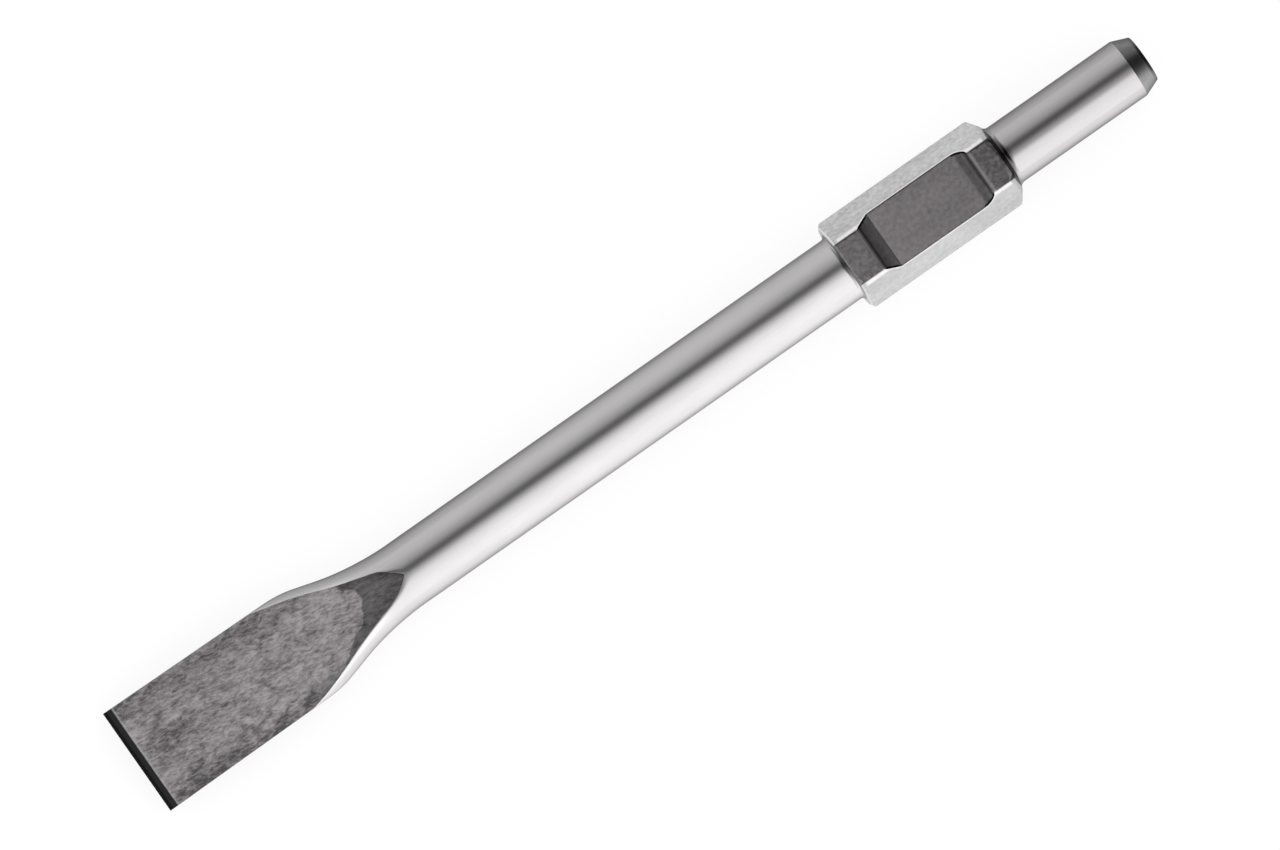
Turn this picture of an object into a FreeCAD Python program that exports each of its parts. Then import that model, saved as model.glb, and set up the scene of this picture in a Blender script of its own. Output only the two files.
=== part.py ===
"""Flat cold chisel for a demolition hammer with a 30 mm hexagon holder.

One forging: a round shank with its striking face, a hexagon collar with a milled latch notch,
a round shaft and a flattened blade with a ground cutting edge.

Frame: origin at the centre of the striking face, +X along the tool's axis and out of that face,
+Z out of the blade's broad face and of the notch, +Y along the cutting edge. Millimetres.
"""
import FreeCAD, Part
import os
import Sketcher
from FreeCAD import Rotation, Vector

SIZES = {
    "overall_length": 410,
    # Round shank, from the striking face to the collar.
    "shank_diameter": 21.8,
    "shank_length": 58.2,
    "shank_chamfer_length": 6,
    "shank_chamfer_depth": 2.4,
    "shank_fillet": 2.4,
    # Hexagon collar. Its corners are turned down to collar_corner_diameter.
    "collar_length": 63.7,
    "collar_across_flats": 29.5,
    "collar_corner_diameter": 33.5,
    "collar_rear_chamfer_length": 2.9,
    "collar_rear_chamfer_depth": 4,
    "collar_front_chamfer_length": 1.2,
    "collar_front_chamfer_depth": 1.6,
    # Latch notch, milled across the top flat in the middle of the collar.
    "notch_length": 44.1,
    "notch_depth": 3.6,
    "notch_cutter_radius": 5.6,
    # Round shaft between the collar and the blade.
    "shaft_diameter": 23.5,
    "shaft_fillet": 1.6,
    # Blade outline, seen from above.
    "blade_edge_width": 39.3,
    "blade_knee_width": 37.9,
    "knee_radius": 40,
    "neck_radius": 100,
    "neck_angle": 16,
    "neck_width": 23.6,
    "neck_distance": 109.5,
    # Blade thickness, seen from the side.
    "edge_thickness": 0.5,
    "bevel_thickness": 4,
    "bevel_length": 3,
    "face_end_thickness": 12.222,
    "face_end_distance": 69.406,
    "runout_start_thickness": 18.622,
    "runout_start_distance": 95.361,
    "runout_distance": 108.5,
    "blend_radius": 215,
}

# Forged blank of the blade: distance from the cutting edge, full width and full height of each
# oval section. The blade faces, the outline and the bevel are cut out of it.
BLANK_SECTIONS = {
    "shaft": (122, 23.5, 23.5),
    "shaft_end": (117, 23.5, 23.5),
    "root": (112, 23.5, 23.5),
    "apex": (107, 23.64, 23.48),
    "throat": (102, 24.3, 23.35),
    "waist": (97, 25.4, 22.8),
    "neck": (87, 29.0, 21.7),
    "shoulder": (78.5, 34.0, 21.4),
    "knee": (70, 38.6, 21.9),
    "cheek": (57, 43.4, 23.2),
    "middle": (30, 47.6, 24),
    "edge": (-3, 50.8, 25),
}

PLANES = {
    "XY": Rotation(),
    "XZ": Rotation(Vector(1, 0, 0), 90),
    "YZ": Rotation(Vector(1, 1, 1), 120),
}
ORIGIN, START, END = -1, 1, 2
AXIS_X, AXIS_Y = -1, -2
CUT_WIDTH = 80
CLEARANCE = 2


def make_sheet(doc):
    """The spreadsheet that every size below is read from."""
    sheet = doc.addObject("Spreadsheet::Sheet", "Sizes")
    rows = dict(SIZES)
    for name, (distance, width, height) in BLANK_SECTIONS.items():
        rows[f"blank_{name}_distance"] = distance
        rows[f"blank_{name}_width"] = width
        rows[f"blank_{name}_height"] = height
    for row, (alias, value) in enumerate(rows.items(), start=1):
        sheet.set(f"A{row}", alias)
        sheet.set(f"B{row}", str(value))
        sheet.setAlias(f"B{row}", alias)
    doc.recompute()
    return sheet


def sized(expression):
    """An expression over the sheet's aliases, which are written in it as @alias."""
    return expression.replace("@", "Sizes.")


def place_point(sketch, axis, geometry, position, expression, value):
    """Holds one coordinate of a sketch point at an expression."""
    if expression == "0":
        line = AXIS_Y if axis == "X" else AXIS_X
        sketch.addConstraint(Sketcher.Constraint("PointOnObject", geometry, position, line))
        return
    constraint = Sketcher.Constraint(
        f"Distance{axis}", ORIGIN, START, geometry, position, value
    )
    index = sketch.addConstraint(constraint)
    sketch.setExpression(f"Constraints[{index}]", sized(expression))


def arc_between(start, end, radius, turn):
    """The short arc from start to end. It turns left when turn is 1 and right when it is -1."""
    chord = end - start
    middle = (start + end) / 2
    normal = Vector(-chord.y, chord.x, 0).normalize()
    sagitta = radius - (radius**2 - (chord.Length / 2) ** 2) ** 0.5
    return Part.Arc(start, middle - normal * sagitta * turn, end)


def make_sketch(doc, name, plane, path):
    """A closed profile. Each step of the path is (x, y) for a straight side that ends there, or
    (x, y, radius, turn) for an arc. The first step is where the last side ends."""
    sketch = doc.addObject("Sketcher::SketchObject", name)
    sketch.Placement = FreeCAD.Placement(Vector(), PLANES[plane])
    corners = [
        Vector(*(float(sketch.evalExpression(sized(e))) for e in step[:2]), 0) for step in path
    ]
    ends = []
    for i, step in enumerate(path):
        start, end = corners[i - 1], corners[i]
        if len(step) == 2:
            geometry = sketch.addGeometry(Part.LineSegment(start, end))
            ends.append((geometry, START, END))
            continue
        radius, turn = step[2:]
        size = float(sketch.evalExpression(sized(radius)))
        geometry = sketch.addGeometry(arc_between(start, end, size, turn))
        ends.append((geometry, START, END) if turn > 0 else (geometry, END, START))
        index = sketch.addConstraint(Sketcher.Constraint("Radius", geometry, size))
        sketch.setExpression(f"Constraints[{index}]", sized(radius))
    for i, (step, corner) in enumerate(zip(path, corners)):
        geometry, _, last = ends[i]
        following, first, _ = ends[(i + 1) % len(ends)]
        join = Sketcher.Constraint("Coincident", geometry, last, following, first)
        sketch.addConstraint(join)
        place_point(sketch, "X", geometry, last, step[0], corner.x)
        place_point(sketch, "Y", geometry, last, step[1], corner.y)
    return sketch


def revolve(doc, name, sketch):
    """The solid that a profile sweeps about the tool's axis."""
    solid = doc.addObject("Part::Revolution", name)
    solid.Source = sketch
    solid.Axis = Vector(1, 0, 0)
    solid.Base = Vector()
    solid.Angle = 360
    solid.Solid = True
    return solid


def extrude(doc, name, sketch):
    """The solid that a profile sweeps both ways out of its plane, wider than the tool."""
    solid = doc.addObject("Part::Extrusion", name)
    solid.Base = sketch
    solid.DirMode = "Normal"
    solid.LengthFwd = CUT_WIDTH
    solid.Symmetric = True
    solid.Solid = True
    return solid


def make_bar(doc):
    """The turned bar: shaft, core of the collar, shank and chamfered striking end."""
    front = "-@shank_length - @collar_length"
    core = "@collar_corner_diameter/2 - @collar_rear_chamfer_depth"
    drop = f"({core} - @shank_diameter/2)"
    run = f"sqrt(2*@shank_fillet*{drop} - {drop}^2)"
    path = [
        ("-@overall_length + @blank_shaft_distance", "0"),
        ("0", "0"),
        ("0", "@shank_diameter/2 - @shank_chamfer_depth"),
        ("-@shank_chamfer_length", "@shank_diameter/2"),
        (f"-@shank_length + {run}", "@shank_diameter/2"),
        ("-@shank_length", core, "@shank_fillet", -1),
        (front, "@shaft_diameter/2 + @shaft_fillet"),
        (f"{front} - @shaft_fillet", "@shaft_diameter/2", "@shaft_fillet", -1),
        ("-@overall_length + @blank_shaft_distance", "@shaft_diameter/2"),
    ]
    return revolve(doc, "Bar", make_sketch(doc, "BarProfile", "XZ", path))


def make_collar(doc):
    """The hexagon collar, with conical chamfers and turned corners."""
    hexagon = doc.addObject("Part::Prism", "Hexagon")
    hexagon.Polygon = 6
    hexagon.setExpression("Circumradius", sized("@collar_across_flats/sqrt(3)"))
    hexagon.setExpression("Height", sized("@collar_length"))
    hexagon.Placement = FreeCAD.Placement(Vector(), PLANES["YZ"])
    hexagon.setExpression("Placement.Base.x", sized("-@shank_length - @collar_length"))
    front, rear = "-@shank_length - @collar_length", "-@shank_length"
    corner = "@collar_corner_diameter/2"
    path = [
        (front, "0"),
        (rear, "0"),
        (rear, f"{corner} - @collar_rear_chamfer_depth"),
        (f"{rear} - @collar_rear_chamfer_length", corner),
        (f"{front} + @collar_front_chamfer_length", corner),
        (front, f"{corner} - @collar_front_chamfer_depth"),
    ]
    envelope = revolve(doc, "CollarEnvelope", make_sketch(doc, "CollarProfile", "XZ", path))
    collar = doc.addObject("Part::Common", "Collar")
    collar.Base = hexagon
    collar.Tool = envelope
    return collar


def make_notch(doc):
    """What the cutter removes across the top flat. The floor's front end is a straight ramp, and
    its rear end rises as an arc of the cutter that is just as long."""
    middle = "-@shank_length - @collar_length/2"
    flat = "@collar_across_flats/2"
    floor = f"{flat} - @notch_depth"
    ramp = "sqrt(2*@notch_cutter_radius*@notch_depth - @notch_depth^2)"
    front, rear = f"{middle} - @notch_length/2", f"{middle} + @notch_length/2"
    path = [
        (front, f"{flat} + {CLEARANCE}"),
        (front, flat),
        (f"{front} + {ramp}", floor),
        (f"{rear} - {ramp}", floor),
        (rear, flat, "@notch_cutter_radius", 1),
        (rear, f"{flat} + {CLEARANCE}"),
    ]
    return extrude(doc, "Notch", make_sketch(doc, "NotchProfile", "XZ", path))


def make_blank(doc):
    """The forged blank of the blade, lofted through oval sections."""
    sections = []
    for name in BLANK_SECTIONS:
        oval = doc.addObject("Part::Ellipse", f"Blank{name.title()}")
        oval.MajorRadius = BLANK_SECTIONS[name][1]
        oval.setExpression("MinorRadius", sized(f"@blank_{name}_height/2"))
        oval.setExpression("MajorRadius", sized(f"@blank_{name}_width/2"))
        oval.Placement = FreeCAD.Placement(Vector(), PLANES["YZ"])
        distance = sized(f"-@overall_length + @blank_{name}_distance")
        oval.setExpression("Placement.Base.x", distance)
        sections.append(oval)
    blank = doc.addObject("Part::Loft", "BladeBlank")
    blank.Sections = sections
    blank.Solid = True
    return blank


def both_sides(path):
    """A profile with its mirror image below the axis, from one half that runs along +X."""
    below = []
    for i in range(len(path) - 1, -1, -1):
        step = (path[i][0], f"-({path[i][1]})")
        if i + 1 < len(path) and len(path[i + 1]) == 4:
            step += path[i + 1][2:]
        below.append(step)
    return path + below


def make_outline(doc):
    """The blade's outline from above: near parallel sides, a rounded knee and a hollow neck."""
    edge, neck_end = "-@overall_length", "-@overall_length + @neck_distance"
    neck_start = f"{neck_end} - @neck_radius*sin(@neck_angle)"
    neck_start_y = "@neck_width/2 + @neck_radius*(1 - cos(@neck_angle))"
    knee_end_y = "@blade_knee_width/2 - @knee_radius*(1 - cos(@neck_angle))"
    knee_end = f"{neck_start} - ({knee_end_y} - ({neck_start_y}))/tan(@neck_angle)"
    half = [
        (f"{edge} - {CLEARANCE}", "@blade_edge_width/2"),
        (f"{knee_end} - @knee_radius*sin(@neck_angle)", "@blade_knee_width/2"),
        (knee_end, knee_end_y, "@knee_radius", -1),
        (neck_start, neck_start_y),
        (neck_end, "@neck_width/2", "@neck_radius", 1),
        (
            f"-@overall_length + @blank_shaft_distance + {CLEARANCE}",
            f"@neck_width/2 + {CLEARANCE}",
        ),
    ]
    return extrude(doc, "BladeOutline", make_sketch(doc, "OutlineProfile", "XY", both_sides(half)))


def make_faces(doc):
    """The blade from the side: bevel, flat faces, and a hollow blend to the run-out."""
    edge = "-@overall_length"
    slope = (
        "(@shaft_diameter - @runout_start_thickness)/2"
        "/(@runout_distance - @runout_start_distance)"
    )
    half = [
        (edge, "@edge_thickness/2"),
        (f"{edge} + @bevel_length", "@bevel_thickness/2"),
        (f"{edge} + @face_end_distance", "@face_end_thickness/2"),
        (
            f"{edge} + @runout_start_distance",
            "@runout_start_thickness/2",
            "@blend_radius",
            1,
        ),
        (
            f"{edge} + @blank_shaft_distance",
            "@shaft_diameter/2"
            f" + {slope}*(@blank_shaft_distance - @runout_distance)",
        ),
        (
            f"{edge} + @blank_shaft_distance + {CLEARANCE}",
            "@shaft_diameter",
        ),
    ]
    return extrude(doc, "BladeFaces", make_sketch(doc, "FaceProfile", "XZ", both_sides(half)))


def make_chisel(doc):
    """The finished forging."""
    blade = doc.addObject("Part::MultiCommon", "Blade")
    blade.Shapes = [make_blank(doc), make_outline(doc), make_faces(doc)]
    forging = doc.addObject("Part::MultiFuse", "Forging")
    forging.Shapes = [make_bar(doc), make_collar(doc), blade]
    chisel = doc.addObject("Part::Cut", "FlatChisel")
    chisel.Base = forging
    chisel.Tool = make_notch(doc)
    chisel.Label = "flat_chisel"
    return chisel


def check(doc, parts):
    """Stops on any failed object or unsound solid."""
    for item in doc.Objects:
        if "Invalid" in item.State or "Error" in item.State:
            raise RuntimeError(f"{item.Label} failed: {item.State}")
    for part in parts:
        shape = part.Shape
        if shape.isNull() or not shape.isValid() or len(shape.Solids) != 1:
            raise RuntimeError(f"{part.Label} isn't one sound solid")


def main():
    doc = FreeCAD.newDocument("FlatChisel")
    make_sheet(doc)
    parts = [make_chisel(doc)]
    doc.recompute()
    check(doc, parts)
    os.makedirs("parts", exist_ok=True)
    for part in parts:
        part.Shape.exportStep(f"parts/{part.Label}.step")
        box = part.Shape.optimalBoundingBox()
        sides = f"{box.XLength:.2f} x {box.YLength:.2f} x {box.ZLength:.2f} mm"
        print(f"{part.Label}: {part.Shape.Volume / 1000:.1f} cm3, {sides}")


main()
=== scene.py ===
import math

import bpy
import numpy as np
from mathutils import Matrix, Vector, noise


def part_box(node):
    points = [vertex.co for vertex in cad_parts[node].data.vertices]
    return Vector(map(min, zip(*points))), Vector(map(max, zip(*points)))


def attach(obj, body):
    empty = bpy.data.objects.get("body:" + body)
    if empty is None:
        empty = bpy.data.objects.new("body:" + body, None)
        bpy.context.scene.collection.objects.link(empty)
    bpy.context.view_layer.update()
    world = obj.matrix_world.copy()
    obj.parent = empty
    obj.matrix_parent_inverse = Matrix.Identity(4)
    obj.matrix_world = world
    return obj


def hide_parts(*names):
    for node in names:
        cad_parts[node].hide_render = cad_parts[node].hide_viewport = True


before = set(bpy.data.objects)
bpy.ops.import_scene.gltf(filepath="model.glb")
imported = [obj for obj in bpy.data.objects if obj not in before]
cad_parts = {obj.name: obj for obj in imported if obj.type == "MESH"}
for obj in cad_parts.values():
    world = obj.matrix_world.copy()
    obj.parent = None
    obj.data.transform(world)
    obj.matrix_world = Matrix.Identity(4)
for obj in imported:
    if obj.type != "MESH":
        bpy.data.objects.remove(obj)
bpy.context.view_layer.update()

NODE = "flat_chisel"
LOW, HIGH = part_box(NODE)
MM = 0.001

# ---------------------------------------------------------------- sizes of the tool, in metres
# +X is the tool's axis and X is 0 at the striking face. The outermost sizes are the frame's.
LENGTH = HIGH.x - LOW.x
EDGE_HALF_WIDTH = HIGH.y
COLLAR_HALF_FLATS = HIGH.z

SHANK_RADIUS = 10.9 * MM
SHANK_LENGTH = 58.2 * MM
SHANK_CHAMFER_LENGTH = 6.0 * MM
SHANK_CHAMFER_DEPTH = 2.4 * MM
SHANK_FILLET = 2.4 * MM
FILLET_SHARE = 0.98
COLLAR_LENGTH = 63.7 * MM
COLLAR_CORNER_RADIUS = 16.75 * MM
COLLAR_REAR_CHAMFER_LENGTH = 2.9 * MM
COLLAR_REAR_CHAMFER_DEPTH = 4.0 * MM
COLLAR_FRONT_CHAMFER_LENGTH = 1.2 * MM
COLLAR_FRONT_CHAMFER_DEPTH = 1.6 * MM
NOTCH_LENGTH = 44.1 * MM
NOTCH_DEPTH = 3.6 * MM
NOTCH_CUTTER = 5.6 * MM
NOTCH_HOLLOW_LIMIT = 0.96
SHAFT_RADIUS = 11.75 * MM
SHAFT_FILLET = 1.6 * MM

# Blade outline, seen from above.
KNEE_HALF_WIDTH = 18.95 * MM
KNEE_RADIUS = 40 * MM
NECK_RADIUS = 100 * MM
NECK_ANGLE = math.radians(16)
NECK_HALF_WIDTH = 11.8 * MM
NECK_DISTANCE = 109.5 * MM

# Blade from the side.
EDGE_HALF_THICKNESS = 0.25 * MM
BEVEL_LENGTH = 3.0 * MM
BEVEL_HALF_THICKNESS = 2.0 * MM
FACE_SLOPE = 3.9 / 63
RUNOUT_SLOPE = 2.97 / 16
RUNOUT_DISTANCE = 108.5 * MM
BLEND_RADIUS = 215 * MM

# Where the hammer marks start behind the bevel, and how far from the faces' borders they fade.
MARKS_START = (4 * MM, 8 * MM)
MARKS_BORDER = (0.1, 0.8)

# Oval sections of the forged blank: distance from the cutting edge, half width, half height.
BLANK_SECTIONS = [
    (-3, 25.4, 12.5),
    (30, 23.8, 12.0),
    (57, 21.7, 11.6),
    (70, 19.3, 10.95),
    (78.5, 17.0, 10.7),
    (87, 14.5, 10.85),
    (97, 12.7, 11.4),
    (102, 12.15, 11.675),
    (107, 11.82, 11.74),
    (112, 11.75, 11.75),
    (122, 11.75, 11.75),
]
ROUND_START = 114 * MM

# ---------------------------------------------------------------- how finely the skin is meshed
EDGE_ROUNDING = 0.25 * MM
ARC_STEP = 0.15 * MM
BLADE_ROW_STEP = 0.7 * MM
FINE_ROW_STEP = 0.25 * MM
COLLAR_ROW_STEP = 1.5 * MM
SHAFT_ROW_STEP = 4 * MM
LAST_STEP = 1.5
END_RINGS = [0.75, 0.5, 0.25]
SIDE_COLUMNS = 20
FACE_COLUMNS = 36
CREASE_ANGLE = math.radians(60)
CREASE_CROWDING = 0.75
FACE_CROWDING = 1.25
BEVEL_ROWS = 10
BEVEL_CREASE_ROWS = 9
HALVINGS = 34

# Larger than any size of the tool: the bound of a surface that isn't there.
UNUSED = 1.0

# Hammer marks: size in mm, stretch along the tool, height in mm. The two faces' marks differ.
HAMMER_MARKS = [(11.0, 1.4, 0.16), (4.5, 1.3, 0.07), (1.8, 1.6, 0.04)]
FACES_APART = 40

# How white the steel's reflection turns at grazing angles.
RIM_TINT = 0.45

# ---------------------------------------------------------------- camera and studio
# Lens and sensor are in mm, and the camera's angles in degrees.
LENS = 900
SENSOR = 36
FRAME_WIDTH = 426.0 * MM
FRAME_TURN = 34.98
CAMERA_LEAN = 4.5
CAMERA_ROLL = 0.5
CAMERA_AIM = Vector((-3.07, -4.0, 0)) * MM
CLIP_END = 20

# The floor, which the steel mirrors a little darker beside the shank, and the studio's soft light.
FLOOR_HALF = 3.0
FLOOR_GLOW = 0.8
FLOOR_BRIGHTNESS = 1.03
PAPER_WHITE = 0.9
SHANK_FLOOR = (-10 * MM, 5 * MM)
SHANK_FLOOR_GLOW = 0.9
SOFT_LIGHT = 1.15

# What the steel mirrors: brightness by angle round the tool in degrees, 0 straight up, positive
# towards -Y.
GLOW_SCALE = 1.5
STUDIO_GLOW = [
    (-180, 0.70),
    (-150, 0.60),
    (-131, 0.60),
    (-118, 0.55),
    (-96, 0.74),
    (-79, 0.79),
    (-60, 0.75),
    (-45, 0.62),
    (-32, 0.48),
    (-25, 0.34),
    (-19, 0.21),
    (-14, 0.145),
    (-7, 0.165),
    (0, 0.35),
    (6, 0.60),
    (13, 0.84),
    (19, 1.03),
    (25, 1.17),
    (32, 1.26),
    (45, 1.35),
    (60, 1.44),
    (83, 1.47),
    (101, 1.42),
    (118, 1.16),
    (131, 0.96),
    (150, 0.78),
    (180, 0.70),
]

# Towards the tool's ends the glow fades, from one X of the direction to another, to a share of
# itself. Overhead that is BLADE_GLOW towards the blade and, towards the striking end, END_GLOW,
# which grows over END_GLOW_REACH. At the sides it is SIDE_GLOW, for +Y and for -Y.
FADE_REACH = (0.15, 0.6)
OVERHEAD = (math.radians(60), math.radians(20))
BLADE_GLOW = 0.34
END_GLOW_REACH = (0.75, 0.95)
END_GLOW = (0.05, 0.16)
END_BLUR = 0.1
SIDE_GLOW = (0.4, 0.65)
SIDE_BLUR = 0.2

COLLAR_FRONT = -SHANK_LENGTH - COLLAR_LENGTH
COLLAR_REAR = -SHANK_LENGTH
COLLAR_MIDDLE = (COLLAR_FRONT + COLLAR_REAR) / 2
NOTCH_RAMP = math.sqrt(2 * NOTCH_CUTTER * NOTCH_DEPTH - NOTCH_DEPTH**2)

# ---------------------------------------------------------------- the steel's finishes
# Places are in mm: X, Y and Z on the tool, or distances from the cutting edge along the blade.
# Two places are a fade: the finish is absent at the first and full at the second. Four places are
# a band: it begins, is full, is full until, and ends. Other pairs say what their two numbers are.
# The upper side is +Y, as the camera sees it.

# The two ends of each finish's tones: display grey from 0 to 255, and how warm it is.
TONES = {
    "steel": ((198, 0.007), (212, 0.007)),
    "milled": ((176, 0.0), (214, 0.0)),
    "oxide": ((134, 0.024), (192, 0.024)),
    # Painted shade round the notch: along its sides, and darkest on its ramps.
    "outline": ((70, 0.02), (14, 0.0)),
    # The chamfer at the striking end: its darker tone on top is a painted shade.
    "cone": ((165, 0.0), (110, 0.0)),
    "scale": ((82, 0.026), (166, 0.026)),
    # The run-out's darker tones are painted shade.
    "runout": ((58, 0.024), (113, 0.02)),
    "bevel": ((16, 0.0), (38, 0.0)),
}

# Greys laid over a finish: grey, warmth, and how much of it covers what is under it.
LAYERS = {
    "shank": (170, 0.02, 0.3),
    # A painted dark reflection along the shank's top.
    "dark_reflection": (0, 0.0, 0.35),
    # A painted highlight on the neck's crest.
    "crest_highlight": (252, 0.0, 0.5),
    # A painted highlight along the collar's upper edges.
    "edge_highlight": (252, 0.008, 0.7),
    # A painted highlight on the collar's front rim beside its sloping flats.
    "front_rim_highlight": (212, 0.0, 1.0),
    "land": (0, 0.0, 0.26),
    # A painted highlight on the lands just past the notch.
    "notch_edge_highlight": (205, 0.0, 0.55),
    # A painted shade on the collar's front rim at the top.
    "front_rim_shade": (112, 0.02, 1.0),
    "ramp_shade": (10, 0.0, 1.0),
    "cone_stain": (90, 0.0, 1.0),
    # A painted shade along the striking end's rim.
    "striking_rim_shade": (30, 0.0, 0.85),
    # A painted shade on the shaft and shank beside the collar's ends.
    "collar_shade": (12, 0.0, 1.0),
    # A painted shade along the blade's crease, on the scale.
    "scale_crease_shade": (70, 0.02, 0.4),
    "smudge": (104, -0.012, 0.5),
    "edge_line": (176, 0.0, 0.4),
    # The same painted shade along the crease, on the run-out.
    "runout_crease_shade": (58, 0.02, 0.35),
}

# Noises: size of their features, stretch along X, Y and Z, detail, roughness and swirl.
GRAINS = {
    "ragged": (1.6, (1, 1, 1), 3.0, 0.5, 0.0),
    "broad_ragged": (2.4, (1, 1, 1), 4.0, 0.5, 0.0),
    "blots": (3.6, (1.5, 1, 1), 4.0, 0.6, 0.4),
    "drift": (13.0, (1.4, 1, 1), 2.0, 0.5, 0.0),
    "rings": (0.22, (1, 60, 60), 2.0, 0.5, 0.0),
    "lengthwise": (0.5, (30, 1, 1), 3.0, 0.5, 0.0),
    "cloud": (9.0, (2.5, 1, 1), 3.0, 0.5, 0.0),
    "mottle": (1.6, (1, 1, 1), 4.0, 0.6, 0.0),
}
STREAKS = (0.9, (2.6, 1, 1), 4.0, 0.62, 0.6)
STREAK_SLANT = math.radians(9)
SHINE_LENGTHWISE = 0.5

# The scale's border: ragged, wider on the upper side, and closing to a point at the run-out's apex.
SCALE_RAGGEDNESS = 0.16
SCALE_SHIFT = 0.35
SHIFT_REACH = 4.0
SHIFT_START = (62.0, 80.0)
RUNOUT_APEX = (108.6, 0.3)
APEX_SLOPE = 0.85
APEX_WEIGHT = 0.5
APEX_ROUNDING = 0.8
BORDER_SOFTNESS = 0.06
SCALE_LIMIT = (114.0, 112.0)

# The smooth run-out: its bowed front, with its strength and limit on the lower and the upper side,
# and a strip that widens down the lower side. The run-out's smoother finish is its own, but its
# darker tones are painted shade, for the darker light that its steeper slope mirrors.
RUNOUT_FRONT = 92.1
BOW_MIDDLE = 4.5
BOW_SIDES = (4.4, 4.6)
BOW_STRENGTH = (0.05, 0.4)
BOW_LIMIT = (40.0, 4.5)
BOW_ROUNDING = 2.5
STRIP_SPREAD = (73.5, 84.0)
STRIP_WIDTH = 4.4
RUNOUT_RAGGEDNESS = 2.4
RUNOUT_SOFTNESS = 0.45
RUNOUT_STREAKS = 1.7
RUNOUT_BLOTS = 1.7
RUNOUT_END = (98.0, 107.0)
RUNOUT_END_DARK = 0.15

# How much streaks, blots and drift show in the scale, between which tones, and where it is
# darker: along both sides, with a wavy border, as painted shade where the faces fall away, and in
# a patch by the tip.
SCALE_STREAKS = 2.9
SCALE_BLOTS = 2.1
SCALE_DRIFT = 0.6
SCALE_DARKENING = 0.5
SCALE_TONES = (-0.8, 0.6)
UPPER_EDGE = (10.5, 15.5)
UPPER_EDGE_WAVE = 7.0
UPPER_EDGE_DARK = 0.75
LOWER_EDGE = (-11.5, -18.0)
LOWER_EDGE_WAVE = 6.0
LOWER_EDGE_DARK = 1.1
TIP_PATCH = (5.0, 9.0, 18.0, 27.0)
TIP_PATCH_SIDE = 1.5
TIP_PATCH_REACH = (9.0, 2.0)
TIP_PATCH_DARK = 0.55

# Details of the blade: a painted shade along its crease, which starts further back on the upper
# side, a pale line behind the bevel, a smudge by the lower side, and the bevel.
CREASE_SIDES = (-2.0, 2.0)
CREASE_START = (62.0, 84.0)
CREASE_RISE = 7.0
CREASE_REACH = (0.7, 0.1)
EDGE_LINE = (3.0, 3.15, 3.5, 3.9)
SMUDGE_ALONG = (58.0, 66.0, 71.0, 77.0)
SMUDGE_INSET = (5.0, 1.5)
SMUDGE_SIDE = (0.0, -1.0)
BEVEL_LINE = (3.05, 2.85)
BEVEL_BORDER = (-0.3, 0.0)
BEVEL_SHADE = (1.0, 1.5)

# A painted highlight on the crest of the neck, beside the run-out.
CREST_REACH = (-1.6, -0.4)
CREST_ALONG = (100.0, 86.0)
CREST_HEIGHTS = (5.0, 7.0)

# The collar. COLLAR_BLUR, FRONT_RIM and the front and rear reaches of the painted edge highlight
# are distances from its ends, and MILLED_CONTRAST is on the lower and the upper side, OXIDE_MOTTLE
# on the floor and on the lands. Its front rim is painted lighter beside the sloping flats and
# darker on top, as painted highlight and painted shade, and its upper edges carry a painted
# highlight.
FRONT = COLLAR_FRONT / MM
REAR = COLLAR_REAR / MM
COLLAR_BLUR = (0.05, 0.2)
GAP_SOFTNESS = 0.05
LAND_SIDES = (8.3, 7.9)
LAND_HEIGHTS = (10.0, 12.0)
FRONT_RIM = (0.6, 0.35)
EDGE_HIGHLIGHT_RAGGEDNESS = 1.6
EDGE_HIGHLIGHT_REACH = (0.75, 0.1)
EDGE_HIGHLIGHT_HEIGHTS = (9.5, 10.8)
EDGE_HIGHLIGHT_FRONT = (1.0, 2.2)
EDGE_HIGHLIGHT_REAR = (3.4, 2.4)
MILLED_MOTTLE = 1.8
MILLED_CLOUD = 1.2
MILLED_SIDES = (-2.0, 2.0)
MILLED_CONTRAST = (0.72, 1.2)
OXIDE_MOTTLE = (1.3, 2.8)
OXIDE_CLOUD = 0.6
OXIDE_DRIFT_START = 15.0
OXIDE_DRIFT = (0.15, -0.2)
OXIDE_SIDE_DRIFT = 0.006

# The notch: a painted shade along its sides, elsewhere and on the ramps, a painted highlight on
# the lands just past its end, and a front ramp in shade, by its distance from the collar's front.
LAND_BLUR = 0.1
RAMP_BLUR = 1.0
OUTLINE_RAGGEDNESS = 0.4
OUTLINE_RAMP_WIDTH = 0.35
OUTLINE_LAND_WIDTH = 0.45
OUTLINE_REACH = (0.6, 0.15)
OUTLINE_STRENGTH = (0.75, 0.95)
NOTCH_HIGHLIGHT_ENDS = (1.4, 0.9)
RAMP_SHADE = 0.65
RAMP_SHADE_REACH = (10.0, 14.5)
RAMP_SHADE_BLUR = 0.3

# Painted shade on the shank behind the collar, shorter away from the middle, and a bow of it on
# the shaft in front, whose reach is given for the middle and for a distance to the side.
COLLAR_SHADE_HEIGHTS = (5.0, 11.0)
COLLAR_SHADE_LENGTH = 4.0
COLLAR_SHADE_TAPER = 0.41
COLLAR_SHADE_SHORTEST = 0.3
COLLAR_SHADE_FADE = 1.9
COLLAR_SHADE_BLUR = 0.15
REAR_SHADE = 0.78
REAR_SHADE_HEIGHTS = (1.0, 5.0)
SHADE_BOW = (2.2, 0.4)
SHADE_BOW_SIDE = 8.0
SHADE_BOW_BLUR = 0.9
FRONT_SHADE = 0.6
FRONT_SHADE_BLUR = 0.4
FRONT_SHADE_SIDES = (9.5, 7.0)
FRONT_SHADE_HEIGHTS = (8.0, 10.5)

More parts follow.
